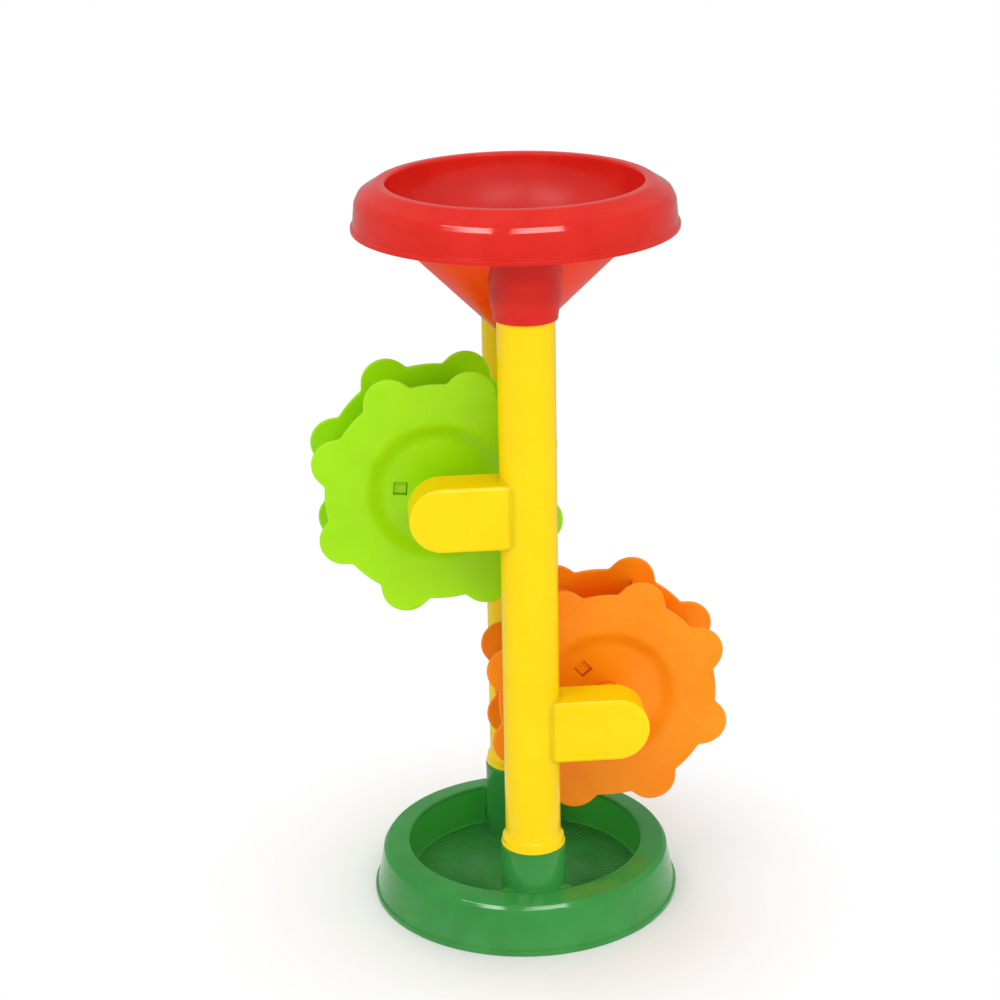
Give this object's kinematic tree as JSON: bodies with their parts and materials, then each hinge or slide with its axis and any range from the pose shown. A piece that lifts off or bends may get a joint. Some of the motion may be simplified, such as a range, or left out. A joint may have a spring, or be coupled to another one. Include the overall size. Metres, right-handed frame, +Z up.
{
  "type": "sand wheel toy",
  "caption": "Free-standing sand and water tower: a round hopper on two columns, paddle wheels turning on fixed axles below its spout, and a round tray at the foot.",
  "frame": {"origin": "centre of the tray on the ground plane, which is the bottom centre of the whole toy's box", "axes": "+Z up along the tower, +X towards the lower wheel, -Y towards the front column; both axles lie along Y"},
  "size_m": [0.2078, 0.16, 0.38],
  "materials": {
    "yellow_plastic": "glossy moulded",
    "green_plastic": "glossy moulded",
    "red_plastic": "glossy moulded",
    "lime_plastic": "glossy moulded",
    "orange_plastic": "glossy moulded",
    "white_plastic": "glossy moulded"
  },
  "bodies": {
    "tower": {"base_tray": "green_plastic", "column_front_outer": "yellow_plastic", "column_front_inner": "yellow_plastic", "column_back_outer": "yellow_plastic", "column_back_inner": "yellow_plastic", "hopper_bowl": "red_plastic", "upper_axle": "white_plastic", "lower_axle": "white_plastic"},
    "upper_wheel": {"upper_wheel_paddles": "lime_plastic", "upper_wheel_front_disc": "lime_plastic", "upper_wheel_back_disc": "lime_plastic"},
    "lower_wheel": {"lower_wheel_paddles": "orange_plastic", "lower_wheel_front_disc": "orange_plastic", "lower_wheel_back_disc": "orange_plastic"}
  },
  "joints": [
    {"name": "upper_wheel_spin", "type": "hinge", "parent": "tower", "child": "upper_wheel", "pos_m": [-0.042, 0, 0.228], "axis": [0, 1, 0], "continuous": true},
    {"name": "lower_wheel_spin", "type": "hinge", "parent": "tower", "child": "lower_wheel", "pos_m": [0.042, 0, 0.113], "axis": [0, 1, 0], "continuous": true}
  ]
}
